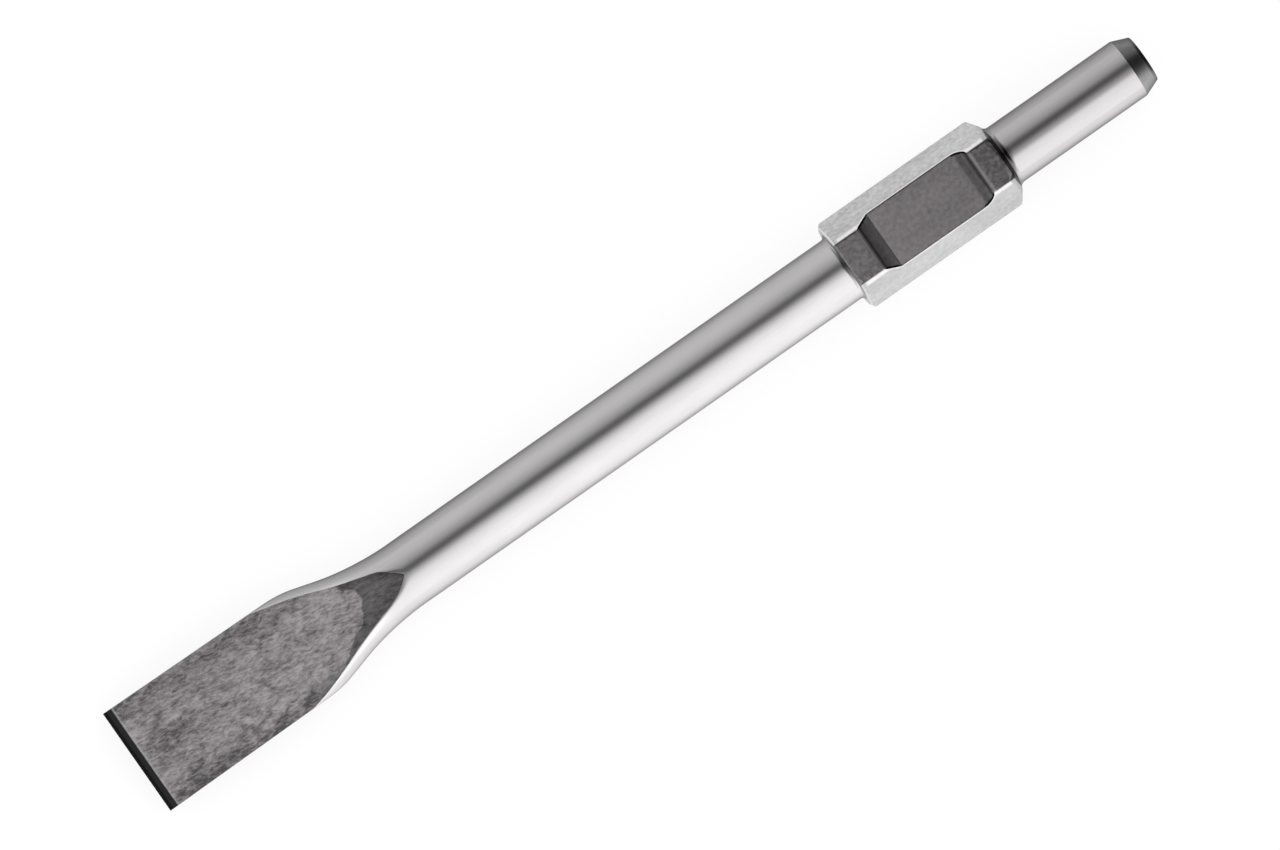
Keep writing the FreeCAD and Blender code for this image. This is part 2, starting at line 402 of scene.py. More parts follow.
# The shank: a painted dark reflection along its top, and the stained chamfer of its striking end,
# greyer on top as a painted shade, and its rim darkened as a painted shade. RIM_STRENGTH is at the
# sides and on top.
SHANK_BLUR = 1.0
REFLECTION_SIDE = 0.7
REFLECTION_REACH = (2.4, 0.4)
REFLECTION_HEIGHTS = (0.0, 2.0)
CONE_BLUR = 0.1
CONE_COVER = 0.9
CONE_SIDE = 0.5
CONE_TOP = (5.0, 2.0)
CONE_STAIN = 0.4
CONE_STAIN_TONES = (-0.4, 0.4)
RIM_REACH = (-1.5, -0.6)
RIM_SIDES = (8.0, 3.5)
RIM_STRENGTH = (0.3, 1.0)

# How metallic and how rough each finish is, and how high its marks are. Steel and scale vary.
MILLED_METAL = 0.4
SCALE_METAL = 0.35
RUNOUT_METAL = 0.4
BEVEL_METAL = 0.2
STEEL_ROUGH = (0.16, 0.22)
SHANK_ROUGH = 0.13
MILLED_ROUGH = 0.5
OXIDE_ROUGH = 0.32
CONE_ROUGH = 0.34
SCALE_ROUGH = (0.72, 0.5)
RUNOUT_ROUGH = 0.48
BEVEL_ROUGH = 0.42
GRINDING_HEIGHT = 0.0012
COLLAR_HEIGHT = 0.015
STREAK_HEIGHT = 0.10
BLOT_HEIGHT = 0.18
RUNOUT_SMOOTHNESS = 0.35


def from_edge(distance):
    """X of a place given by its distance from the cutting edge."""
    return distance - LENGTH


# ---------------------------------------------------------------- profiles along the axis
def rounded_path(points, radii):
    """A polyline whose inner corners are arcs of the given radii, as an array of points."""
    path = [np.array(points[0], float)]
    for before, corner, after, radius in zip(points, points[1:], points[2:], radii):
        before, corner, after = (np.array(p, float) for p in (before, corner, after))
        if not radius:
            path.append(corner)
            continue
        back = (before - corner) / np.linalg.norm(before - corner)
        ahead = (after - corner) / np.linalg.norm(after - corner)
        half = math.acos(float(np.clip(back @ ahead, -1, 1))) / 2
        setback = radius / math.tan(half)
        centre = corner + (back + ahead) / np.linalg.norm(back + ahead) * radius / math.sin(half)
        start = corner + back * setback - centre
        end = corner + ahead * setback - centre
        turn = math.pi - 2 * half
        steps = max(3, math.ceil(radius * turn / ARC_STEP))
        for k in range(steps + 1):
            swept = turn * k / steps
            mixed = (math.sin(turn - swept) * start + math.sin(swept) * end) / math.sin(turn)
            path.append(centre + mixed)
    path.append(np.array(points[-1], float))
    return np.array(path)


def turned_path():
    """The lathe profile, (X, radius), from the round shaft to the striking face's middle."""
    core = COLLAR_CORNER_RADIUS - COLLAR_REAR_CHAMFER_DEPTH
    sweep = math.acos(1 - (core - SHANK_RADIUS) / SHANK_FILLET)
    fillet_corner = SHANK_FILLET * (math.sin(sweep) - math.tan(sweep / 2))
    points = [
        (from_edge(ROUND_START), SHAFT_RADIUS),
        (COLLAR_FRONT, SHAFT_RADIUS),
        (COLLAR_FRONT, COLLAR_CORNER_RADIUS - COLLAR_FRONT_CHAMFER_DEPTH),
        (COLLAR_FRONT + COLLAR_FRONT_CHAMFER_LENGTH, COLLAR_CORNER_RADIUS),
        (COLLAR_REAR - COLLAR_REAR_CHAMFER_LENGTH, COLLAR_CORNER_RADIUS),
        (COLLAR_REAR, core),
        (COLLAR_REAR + fillet_corner, SHANK_RADIUS),
        (-SHANK_CHAMFER_LENGTH, SHANK_RADIUS),
        (0, SHANK_RADIUS - SHANK_CHAMFER_DEPTH),
        (0, 0),
    ]
    radii = [
        SHAFT_FILLET,
        EDGE_ROUNDING / 2,
        EDGE_ROUNDING,
        EDGE_ROUNDING,
        0,
        SHANK_FILLET * FILLET_SHARE,
        2 * EDGE_ROUNDING,
        EDGE_ROUNDING,
    ]
    return rounded_path(points, radii)


def outline_path():
    """Half of the blade's outline from above, (X, Y)."""
    neck = from_edge(NECK_DISTANCE) - NECK_RADIUS * math.tan(NECK_ANGLE / 2)
    knee = neck - (KNEE_HALF_WIDTH - NECK_HALF_WIDTH) / math.tan(NECK_ANGLE)
    points = [
        (LOW.x, EDGE_HALF_WIDTH),
        (knee, KNEE_HALF_WIDTH),
        (neck, NECK_HALF_WIDTH),
        (from_edge(NECK_DISTANCE), NECK_HALF_WIDTH),
        (from_edge(ROUND_START), NECK_HALF_WIDTH + EDGE_ROUNDING),
    ]
    return rounded_path(points, [KNEE_RADIUS, NECK_RADIUS, 0])


def face_path():
    """Half of the blade's thickness from the side, (X, Z): bevel, flat, blend and run-out."""
    bevel_end = from_edge(BEVEL_LENGTH)
    runout_end = from_edge(RUNOUT_DISTANCE)
    drop = SHAFT_RADIUS - BEVEL_HALF_THICKNESS - FACE_SLOPE * (runout_end - bevel_end)
    meet = runout_end - drop / (RUNOUT_SLOPE - FACE_SLOPE)
    points = [
        (LOW.x, EDGE_HALF_THICKNESS),
        (bevel_end, BEVEL_HALF_THICKNESS),
        (meet, SHAFT_RADIUS - RUNOUT_SLOPE * (runout_end - meet)),
        (runout_end + SHAFT_RADIUS, SHAFT_RADIUS * (1 + RUNOUT_SLOPE)),
    ]
    return rounded_path(points, [EDGE_ROUNDING, BLEND_RADIUS])


def smooth_curve(knots, values, at):
    """A natural cubic spline through the knots, as the loft through the blank's ovals runs."""
    gaps = np.diff(knots)
    slopes = np.diff(values) / gaps
    n = len(knots)
    system = np.eye(n)
    right = np.zeros(n)
    for i in range(1, n - 1):
        system[i, i - 1 : i + 2] = gaps[i - 1], 2 * (gaps[i - 1] + gaps[i]), gaps[i]
        right[i] = 6 * (slopes[i] - slopes[i - 1])
    bend = np.linalg.solve(system, right)
    i = np.clip(np.searchsorted(knots, at) - 1, 0, n - 2)
    left, rest = at - knots[i], knots[i + 1] - at
    cubic = (bend[i] * rest**3 + bend[i + 1] * left**3) / (6 * gaps[i])
    start = (values[i] / gaps[i] - bend[i] * gaps[i] / 6) * rest
    end = (values[i + 1] / gaps[i] - bend[i + 1] * gaps[i] / 6) * left
    return cubic + start + end


def row_step(x):
    """How far apart the mesh's rows are at X."""
    if x < from_edge(RUNOUT_DISTANCE):
        return BLADE_ROW_STEP
    if x < from_edge(ROUND_START) + SHAFT_RADIUS:
        return COLLAR_ROW_STEP
    if not COLLAR_FRONT <= x <= COLLAR_REAR:
        return SHAFT_ROW_STEP
    from_land = NOTCH_LENGTH / 2 - abs(x - COLLAR_MIDDLE)
    on_ramp = -2 * EDGE_ROUNDING < from_land < NOTCH_RAMP + EDGE_ROUNDING
    on_chamfer = min(x - COLLAR_FRONT, COLLAR_REAR - x) < COLLAR_REAR_CHAMFER_LENGTH
    return FINE_ROW_STEP if on_ramp or on_chamfer else COLLAR_ROW_STEP


def rows():
    """Every row of the skin as (X, turned radius). The blade's rows have no turned radius."""
    crease_start = from_edge(BEVEL_LENGTH - EDGE_ROUNDING)
    crease_end = from_edge(BEVEL_LENGTH + EDGE_ROUNDING)
    bevel = np.linspace(LOW.x, crease_start, BEVEL_ROWS)
    crease = np.linspace(crease_start, crease_end, BEVEL_CREASE_ROWS)
    blade = np.concatenate([bevel, crease[1:], [from_edge(ROUND_START)]])
    path = [(x, UNUSED) for x in blade[:-1]]
    path += [tuple(p) for p in turned_path()]
    made = [path[0]]
    for (x0, r0), (x1, r1) in zip(path, path[1:]):
        if x0 == x1 and r0 == r1:
            continue
        on_blade = r0 == UNUSED
        run = x1 - x0 if on_blade else math.hypot(x1 - x0, r1 - r0)
        if r1 == 0:
            made += [(x1, r0 * share) for share in END_RINGS]
            continue
        x = x0
        here = 0.0
        while run - here > LAST_STEP * row_step(x):
            here += row_step(x)
            share = here / run
            x = x0 + (x1 - x0) * share
            made.append((x, UNUSED if on_blade else r0 + (r1 - r0) * share))
        made.append((x1, r1))
    return np.array(made)


# ---------------------------------------------------------------- the skin of the forging
def columns():
    """Column angles once round the tool, crowded where creases run. Mirrored about both axes."""
    t = np.arange(SIDE_COLUMNS) / SIDE_COLUMNS
    side = CREASE_ANGLE * (t - CREASE_CROWDING * np.sin(2 * math.pi * t) / (2 * math.pi))
    t = np.arange(FACE_COLUMNS + 1) / FACE_COLUMNS
    face = CREASE_ANGLE + (math.pi / 2 - CREASE_ANGLE) * t**FACE_CROWDING
    quarter = np.concatenate([side, face])
    half = np.concatenate([quarter, math.pi - quarter[-2::-1]])
    return np.concatenate([half, 2 * math.pi - half[-2:0:-1]])


def both(a, b):
    """The larger of two distances, rounded where they meet."""
    overlap = np.maximum(EDGE_ROUNDING - np.abs(a - b), 0) / EDGE_ROUNDING
    return np.maximum(a, b) + overlap**2 * EDGE_ROUNDING / 4


class Section:
    """The cross sections at all rows: what bounds the steel at each X."""

    def __init__(self, x, radius):
        on_blade = radius == UNUSED
        in_collar = (x >= COLLAR_FRONT) & (x <= COLLAR_REAR)
        ovals = np.array(BLANK_SECTIONS) * MM
        knots = from_edge(ovals[:, 0])
        self.x = x
        self.radius = radius
        self.on_blade = on_blade
        self.flats = np.where(in_collar, COLLAR_HALF_FLATS, UNUSED)
        self.oval_y = np.where(on_blade, smooth_curve(knots, ovals[:, 1], x), UNUSED)
        self.oval_z = np.where(on_blade, smooth_curve(knots, ovals[:, 2], x), UNUSED)
        self.wall = np.where(on_blade, np.interp(x, *outline_path().T), UNUSED)
        near_blade = x < from_edge(RUNOUT_DISTANCE) + SHAFT_RADIUS
        face = face_path()
        self.face = np.where(near_blade, np.interp(x, *face.T), UNUSED)
        face_slope = np.gradient(face[:, 1]) / np.gradient(face[:, 0])
        self.face_lean = np.cos(np.arctan(np.interp(x, face[:, 0], face_slope)))
        half_floor = NOTCH_LENGTH / 2 - NOTCH_RAMP
        ahead = np.clip(COLLAR_MIDDLE - half_floor - x, 0, None)
        behind = np.clip((x - COLLAR_MIDDLE - half_floor) / NOTCH_CUTTER, 0, NOTCH_HOLLOW_LIMIT)
        hollow = NOTCH_CUTTER * (1 - np.sqrt(1 - behind**2))
        floor = COLLAR_HALF_FLATS - NOTCH_DEPTH
        notched = in_collar & (np.abs(x - COLLAR_MIDDLE) < NOTCH_LENGTH / 2 + 2 * EDGE_ROUNDING)
        ramp_slope = NOTCH_DEPTH / NOTCH_RAMP
        self.notch = np.where(notched, floor + ahead * ramp_slope + hollow, UNUSED)
        straight = math.cos(math.atan(ramp_slope))
        self.notch_lean = np.where(ahead > 0, straight, np.sqrt(1 - behind**2))

    def crease(self):
        """Half width and height of the edge where the blade's face ends, which a column follows."""
        share = np.clip(self.face / self.oval_z, 0, 1)
        half_face = np.minimum(self.oval_y * np.sqrt(1 - share**2), self.wall)
        round_y = SHAFT_RADIUS * math.cos(CREASE_ANGLE)
        round_z = SHAFT_RADIUS * math.sin(CREASE_ANGLE)
        y = np.where(self.on_blade, np.maximum(half_face, round_y), round_y)
        z = np.where(self.on_blade, np.minimum(self.face, round_z), round_z)
        return y, z

    def notch_crease(self):
        """The same for the upper edges of the collar, where the notch's floor ends."""
        y, z = self.crease()
        lowered = self.notch < COLLAR_HALF_FLATS
        corner = (COLLAR_HALF_FLATS - self.notch / 2) / math.cos(math.pi / 6)
        return np.where(lowered, corner, y), np.where(lowered, self.notch, z)

    def distances(self, y, z):
        """Signed distances to each kind of surface, (face, [the others])."""
        col = (slice(None), None)
        others = [np.hypot(y, z) - self.radius[col]]
        for k in range(3):
            a = math.pi / 6 + k * math.pi / 3
            others.append(np.abs(y * math.cos(a) + z * math.sin(a)) - self.flats[col])
        others.append((z - self.notch[col]) * self.notch_lean[col])
        oy, oz = self.oval_y[col], self.oval_z[col]
        level = (y / oy) ** 2 + (z / oz) ** 2
        steep = 2 * np.sqrt((y / oy**2) ** 2 + (z / oz**2) ** 2)
        others.append((level - 1) / np.maximum(steep, 1e-9))
        others.append(np.abs(y) - self.wall[col])
        face = (np.abs(z) - self.face[col]) * self.face_lean[col]
        return face, others

    def solve(self, angles):
        """Y and Z of the skin at every row and column, by halving along each ray."""
        upper = (np.sin(angles) > 1e-6)[None, :]
        crease_y, crease_z = (
            np.where(upper, above[:, None], below[:, None])
            for above, below in zip(self.notch_crease(), self.crease())
        )
        dy = np.cos(angles)[None, :] / math.cos(CREASE_ANGLE) * crease_y
        dz = np.sin(angles)[None, :] / math.sin(CREASE_ANGLE) * crease_z
        size = np.hypot(dy, dz)
        dy, dz = dy / size, dz / size
        inside = np.zeros_like(dy)
        outside = np.full_like(dy, 2 * EDGE_HALF_WIDTH)
        for _ in range(HALVINGS):
            middle = (inside + outside) / 2
            face, others = self.distances(middle * dy, middle * dz)
            total = face
            for other in others:
                total = both(total, other)
            out = total > 0
            outside = np.where(out, middle, outside)
            inside = np.where(out, inside, middle)
        return inside * dy, inside * dz


def skin():
    """Points of the whole tool, rows by columns, with the shading masks of each point."""
    made = rows()
    section = Section(made[:, 0], made[:, 1])
    y, z = section.solve(columns())
    face, others = section.distances(y, z)
    rest = np.max(others, axis=0)
    turned, side, top, other_side, notch = others[:5]
    sides = np.maximum(side, other_side)
    upper = np.maximum(top, notch)
    stacked = np.sort(np.stack([face, *others]), axis=0)
    x = np.repeat(section.x[:, None], y.shape[1], axis=1)
    crease_y = np.where(section.on_blade, section.crease()[0], 0)
    # Each is in mm, above 0 on its surface and 0 at its border: the blade's faces, all surfaces
    # away from their edges, the upper flat and notch, the same against the sloping flats alone,
    # the faces by the way in from their sides, and the turned surfaces.
    masks = {
        "face_gap": (face - rest) / MM,
        "edge_gap": (stacked[-1] - stacked[-2]) / MM,
        "upper_gap": (upper - np.maximum(turned, sides)) / MM,
        "flats_gap": (upper - sides) / MM,
        "inset": (crease_y[:, None] - np.abs(y)) / MM,
        "turned_gap": (turned - np.max([face, *others[1:]], axis=0)) / MM,
    }
    return x, y, z, masks


def ease(value, low, high):
    """0 below low, 1 above high, and a smooth rise between them."""
    t = np.clip((value - low) / (high - low), 0, 1)
    return t * t * (3 - 2 * t)


def hammered(x, y, z, masks):
    """Lifts and lowers the blade's faces a little, as a forging hammer leaves them."""
    behind_bevel = ease(x, *(from_edge(start) for start in MARKS_START))
    on_face = ease(masks["face_gap"], *MARKS_BORDER) * behind_bevel
    moved = z.copy()
    for i, j in zip(*np.nonzero(on_face)):
        side = math.copysign(1, z[i, j])
        at = Vector((x[i, j] / MM, y[i, j] / MM, FACES_APART * side))
        rise = 0.0
        for size, stretch, height in HAMMER_MARKS:
            rise += height * noise.noise(Vector((at.x / stretch, at.y, at.z)) / size)
        moved[i, j] += side * rise * MM * on_face[i, j]
    return moved


def make_chisel():
    """The whole tool as one closed mesh, with its masks as attributes."""
    x, y, z, masks = skin()
    z = hammered(x, y, z, masks)
    count, around = x.shape
    points = np.stack([x, y, z], axis=-1).reshape(-1, 3)
    points = np.vstack([points, [0, 0, 0]])
    here = np.arange((count - 1) * around)
    beside = here - here % around + (here + 1) % around
    quads = np.stack([here, beside, beside + around, here + around], axis=1)
    faces = [tuple(int(v) for v in quad) for quad in quads]
    # A strip closes the cutting edge, and a fan the striking face.
    for j in range(around // 2):
        strip = ((around - j) % around, around - j - 1, j + 1, j)
        faces.append(tuple(dict.fromkeys(strip)))
    ring = (count - 1) * around
    for j in range(around):
        faces.append((ring + j, ring + (j + 1) % around, len(points) - 1))
    mesh = bpy.data.meshes.new("chisel_forging")
    mesh.from_pydata([tuple(p) for p in points.tolist()], [], faces)
    mesh.shade_smooth()
    for name, values in masks.items():
        attribute = mesh.attributes.new(name, "FLOAT", "POINT")
        attribute.data.foreach_set("value", np.append(values.ravel(), -UNUSED).astype(np.float32))
    piece = bpy.data.objects.new("chisel_forging", mesh)
    bpy.context.scene.collection.objects.link(piece)
    return piece


# ---------------------------------------------------------------- shader building
class Nodes:
    """Short calls for building a node tree."""

    def __init__(self, tree):
        self.tree = tree
        tree.nodes.clear()

    def add(self, kind, inputs=None, **settings):
        """A node with its settings, and each input either linked or given its value."""
        node = self.tree.nodes.new(kind)
        for name, value in settings.items():
            setattr(node, name, value)
        for name, value in (inputs or {}).items():
            self.feed(node.inputs[name], value)
        return node

    def feed(self, socket, value):
        if isinstance(value, bpy.types.NodeSocket):
            self.tree.links.new(value, socket)
        else:
            socket.default_value = value

    def math(self, operation, *values, clamp=False):
        inputs = dict(enumerate(values))
        node = self.add("ShaderNodeMath", inputs, operation=operation, use_clamp=clamp)
        return node.outputs[0]

    def plus(self, a, b):
        return self.math("ADD", a, b)

    def minus(self, a, b):
        return self.math("SUBTRACT", a, b)

    def times(self, a, b):
        return self.math("MULTIPLY", a, b)

    def fused(self, value, factor, addend):
        """The value times the factor, plus the addend."""
        return self.math("MULTIPLY_ADD", value, factor, addend)

    def size_of(self, value):
        return self.math("ABSOLUTE", value)

    def rise(self, value, low, high):
        """0 where the value is below low, 1 above high, smooth between. Low may be above high."""
        inputs = {"Value": value, "From Min": low, "From Max": high}
        node = self.add("ShaderNodeMapRange", inputs, interpolation_type="SMOOTHSTEP")
        return node.outputs["Result"]

    def band(self, value, start, full, past_full, end):
        """1 between full and past_full, 0 before start and after end, smooth between."""
        return self.times(self.rise(value, start, full), self.rise(value, end, past_full))

    def span(self, value, low, high, to_low, to_high):
        """The value carried in a straight line from one range to another, and held at its ends."""
        inputs = {
            "Value": value,
            "From Min": low,
            "From Max": high,
            "To Min": to_low,
            "To Max": to_high,
        }
        return self.add("ShaderNodeMapRange", inputs).outputs["Result"]

    def mix(self, share, first, second):
        """A number between two, by share."""
        inputs = {0: share, 2: first, 3: second}
        return self.add("ShaderNodeMix", inputs, data_type="FLOAT").outputs[0]

    def blend(self, share, first, second, how="MIX"):
        """A colour between two, by share."""
        inputs = {0: share, 6: first, 7: second}
        node = self.add("ShaderNodeMix", inputs, data_type="RGBA", blend_type=how)
        return node.outputs[2]

    def mask(self, name):
        """One of the masks that the skin carries at its points."""
        return self.add("ShaderNodeAttribute", attribute_name=name).outputs["Fac"]

    def stretched(self, point, scale):
        inputs = {0: point, 1: scale}
        return self.add("ShaderNodeVectorMath", inputs, operation="MULTIPLY").outputs[0]

    def grain(self, point, size, stretch, detail, rough, swirl):
        """Noise from about -0.5 to 0.5, with features of the given size, longer by stretch."""
        scale = tuple(1 / (size * s) for s in stretch)
        inputs = {
            "Vector": self.stretched(point, scale),
            "Scale": 1.0,
            "Detail": detail,
            "Roughness": rough,
            "Distortion": swirl,
        }
        node = self.add("ShaderNodeTexNoise", inputs)
        return self.minus(node.outputs[0], 0.5)


def tint(grey, warmth):
    """A display grey from 0 to 255, slightly warm or cool, as a scene-linear colour."""
    shades = [grey * (1 + warmth), grey * (1 - warmth / 3), grey]
    return tuple(((s / 255 + 0.055) / 1.055) ** 2.4 for s in shades) + (1.0,)


class SteelNodes(Nodes):
    """The steel's nodes: its places, noises and masks, and then the look of each finish."""

    def __init__(self, tree):
        super().__init__(tree)
        place = self.add("ShaderNodeTexCoord").outputs["Object"]
        self.point = self.stretched(place, (1 / MM,) * 3)
        axes = self.add("ShaderNodeSeparateXYZ", {0: self.point}).outputs
        self.x, self.y, self.z = axes[0], axes[1], axes[2]
        # u is the distance from the cutting edge.
        self.u = self.plus(self.x, LENGTH / MM)
        self.off_middle = self.size_of(self.y)
        self.face_gap = self.mask("face_gap")
        self.edge_gap = self.mask("edge_gap")
        self.upper_gap = self.mask("upper_gap")
        self.flats_gap = self.mask("flats_gap")
        self.turned_gap = self.mask("turned_gap")
        self.inset = self.mask("inset")
        self.grains = {name: self.grain(self.point, *facts) for name, facts in GRAINS.items()}
        slanted = self.add(
            "ShaderNodeVectorRotate",
            {"Vector": self.point, "Angle": STREAK_SLANT},
            rotation_type="Z_AXIS",
        ).outputs[0]
        self.streaks = self.grain(slanted, *STREAKS)
        self.shine = self.fused(self.grains["lengthwise"], SHINE_LENGTHWISE, self.grains["cloud"])
        self.place_blade()
        self.place_collar()
        self.place_notch()
        self.place_collar_shade()
        self.place_shank()

    # Where each finish lies: 1 where it is, 0 where it isn't.
    def place_blade(self):
        """Scale on the forged faces, the smooth run-out behind it, a smudge, and the bevel."""
        u, y = self.u, self.y
        border = self.fused(self.grains["ragged"], SCALE_RAGGEDNESS, self.face_gap)
        shift = self.span(y, -SHIFT_REACH, SHIFT_REACH, -SCALE_SHIFT, SCALE_SHIFT)
        border = self.plus(border, self.times(shift, self.rise(u, *SHIFT_START)))
        apex, apex_side = RUNOUT_APEX
        from_apex = self.times(self.minus(apex, u), APEX_SLOPE)
        from_apex = self.minus(from_apex, self.size_of(self.minus(y, apex_side)))
        from_apex = self.times(from_apex, APEX_WEIGHT)
        border = self.math("SMOOTH_MIN", border, from_apex, APEX_ROUNDING)
        on_face = self.rise(border, -BORDER_SOFTNESS, BORDER_SOFTNESS)
        self.scale = self.times(on_face, self.rise(u, *SCALE_LIMIT))

        on_upper = self.rise(y, *BOW_SIDES)
        bow = self.math("POWER", self.size_of(self.minus(y, BOW_MIDDLE)), 2.0)
        bow = self.times(bow, self.mix(on_upper, *BOW_STRENGTH))
        bow = self.math("SMOOTH_MIN", bow, self.mix(on_upper, *BOW_LIMIT), BOW_ROUNDING)
        behind_front = self.minus(self.plus(u, bow), RUNOUT_FRONT)
        strip = self.minus(self.span(u, *STRIP_SPREAD, 0.0, STRIP_WIDTH), self.inset)
        strip = self.math("MINIMUM", strip, self.times(y, -1.0))
        runout = self.math("MAXIMUM", behind_front, strip)
        runout = self.fused(self.grains["broad_ragged"], RUNOUT_RAGGEDNESS, runout)
        runout = self.rise(runout, -RUNOUT_SOFTNESS, RUNOUT_SOFTNESS)
        self.runout = self.times(runout, self.scale)

        smudge = self.times(self.band(u, *SMUDGE_ALONG), self.rise(self.inset, *SMUDGE_INSET))
        self.smudge = self.times(smudge, self.rise(y, *SMUDGE_SIDE))
        before_line = self.rise(u, *BEVEL_LINE)
        self.bevel = self.times(before_line, self.rise(self.face_gap, *BEVEL_BORDER))
        # A painted shade along the faces' crease.
        from_crease = self.minus(u, self.span(y, *CREASE_SIDES, *CREASE_START))
        near_crease = self.rise(self.face_gap, *CREASE_REACH)
        self.crease_shade = self.times(near_crease, self.rise(from_crease, 0.0, CREASE_RISE))

    def place_collar(self):
        """The collar's dark top and notch, its milled flats, and painted light on its rim and
        edges.
        """
        x = self.x
        before, inside = COLLAR_BLUR
        self.in_collar = self.band(x, FRONT - before, FRONT, REAR - inside, REAR)
        self.turned = self.rise(self.turned_gap, -GAP_SOFTNESS, GAP_SOFTNESS)
        upper = self.rise(self.upper_gap, -GAP_SOFTNESS, GAP_SOFTNESS)
        land_ends = self.rise(self.off_middle, *LAND_SIDES)
        land_ends = self.times(land_ends, self.rise(self.z, *LAND_HEIGHTS))
        land_ends = self.times(land_ends, self.times(self.turned, self.in_collar))
        self.oxide = self.math("MAXIMUM", self.times(upper, self.in_collar), land_ends)
        self.milled = self.times(self.in_collar, self.minus(1.0, self.oxide))
        rim_end, rim_full = FRONT_RIM
        # The front rim, which carries painted light: lighter beside the flats, darker on top.
        self.front_rim = self.times(self.rise(x, FRONT + rim_end, FRONT + rim_full), self.in_collar)
        # A painted highlight along the flats' upper edges.
        from_edges = self.fused(self.grains["mottle"], EDGE_HIGHLIGHT_RAGGEDNESS, self.edge_gap)
        edge_highlight = self.times(self.rise(from_edges, *EDGE_HIGHLIGHT_REACH), self.rise(self.z, *EDGE_HIGHLIGHT_HEIGHTS))
        ends = [FRONT + d for d in EDGE_HIGHLIGHT_FRONT] + [REAR - d for d in EDGE_HIGHLIGHT_REAR]
        self.edge_highlight = self.times(edge_highlight, self.band(x, *ends))

    def place_notch(self):
        """The notch's lands and ramps, painted shade round its floor, and painted highlights past
        it.
        """
        notch_end = NOTCH_LENGTH / 2 / MM
        floor_end = notch_end - NOTCH_RAMP / MM
        from_centre = self.size_of(self.minus(self.x, COLLAR_MIDDLE / MM))
        self.on_land = self.rise(from_centre, notch_end - LAND_BLUR, notch_end)
        past_floor = self.rise(from_centre, floor_end, floor_end + RAMP_BLUR)
        on_ramp = self.times(past_floor, self.minus(1.0, self.on_land))
        from_flats = self.fused(self.grains["mottle"], OUTLINE_RAGGEDNESS, self.flats_gap)
        from_flats = self.fused(on_ramp, -OUTLINE_RAMP_WIDTH, from_flats)
        from_flats = self.fused(self.on_land, -OUTLINE_LAND_WIDTH, from_flats)
        line = self.rise(from_flats, *OUTLINE_REACH)
        self.outline = self.times(line, self.mix(on_ramp, *OUTLINE_STRENGTH))
        self.on_ramp = on_ramp
        notch_edge_highlight = self.rise(from_centre, *(notch_end + d for d in NOTCH_HIGHLIGHT_ENDS))
        self.notch_edge_highlight = self.times(self.on_land, notch_edge_highlight)
        shade = self.span(self.x, *(FRONT + d for d in RAMP_SHADE_REACH), RAMP_SHADE, 0.0)
        past_notch = self.rise(from_centre, notch_end - RAMP_SHADE_BLUR, notch_end)
        self.ramp_shade = self.times(shade, self.minus(1.0, past_notch))

    def place_collar_shade(self):
        """Painted shade behind the collar, longest at the top, and a narrow bow of it in front."""
        x, z = self.x, self.z
        start = self.plus(REAR, self.span(z, *COLLAR_SHADE_HEIGHTS, 0.0, -1.0))
        length = self.fused(self.off_middle, -COLLAR_SHADE_TAPER, COLLAR_SHADE_LENGTH)
        length = self.math("MAXIMUM", length, COLLAR_SHADE_SHORTEST)
        share = self.math("DIVIDE", self.minus(x, REAR), length)
        share = self.math("POWER", self.math("MAXIMUM", share, 0.0), COLLAR_SHADE_FADE)
        behind = self.math("SUBTRACT", 1.0, share, clamp=True)
        behind = self.times(behind, self.rise(self.minus(x, start), -COLLAR_SHADE_BLUR, COLLAR_SHADE_BLUR))
        behind = self.times(behind, self.rise(z, *REAR_SHADE_HEIGHTS))
        bow = self.span(self.off_middle, 0.0, SHADE_BOW_SIDE, *(FRONT - d for d in SHADE_BOW))
        ahead = self.rise(self.minus(x, bow), 0.0, SHADE_BOW_BLUR)
        ahead = self.times(ahead, self.rise(x, FRONT, FRONT - FRONT_SHADE_BLUR))
        ahead = self.times(ahead, self.rise(self.off_middle, *FRONT_SHADE_SIDES))
        ahead = self.times(ahead, self.rise(z, *FRONT_SHADE_HEIGHTS))
        behind = self.times(behind, REAR_SHADE)
        ahead = self.times(ahead, FRONT_SHADE)
        self.collar_shade = self.times(self.turned, self.math("MAXIMUM", behind, ahead))

    def place_shank(self):
        """The shank, its painted dark stripe, its striking end, and the crest's painted highlight.
        """
        x, y, z = self.x, self.y, self.z
        cone_start = -SHANK_CHAMFER_LENGTH / MM
        self.in_shank = self.rise(x, REAR, REAR + SHANK_BLUR)
        self.cone = self.rise(x, cone_start - CONE_BLUR, cone_start + CONE_BLUR)
        # A painted shade along the striking end's rim, strongest on top.
        rim_strength = self.mix(self.rise(self.off_middle, *RIM_SIDES), *RIM_STRENGTH)
        self.striking_rim_shade = self.times(self.rise(x, *RIM_REACH), rim_strength)
        dark_reflection = self.rise(self.size_of(self.plus(y, REFLECTION_SIDE)), *REFLECTION_REACH)
        self.dark_reflection = self.times(self.times(self.in_shank, dark_reflection), self.rise(z, *REFLECTION_HEIGHTS))
        # A painted highlight on the neck's crest.
        crest_highlight = self.rise(self.face_gap, *CREST_REACH)
        crest_highlight = self.times(crest_highlight, self.rise(self.u, *CREST_ALONG))
        self.crest_highlight = self.times(crest_highlight, self.rise(z, *CREST_HEIGHTS))

    # How each finish looks.
    def between(self, share, name):
        """A colour between a finish's two tones, by share."""
        first, second = TONES[name]
        return self.blend(share, tint(*first), tint(*second))

    def toned(self, tone, name):
        """The same by a tone that runs from -0.5 to 0.5."""
        return self.between(self.span(tone, -0.5, 0.5, 0.0, 1.0), name)

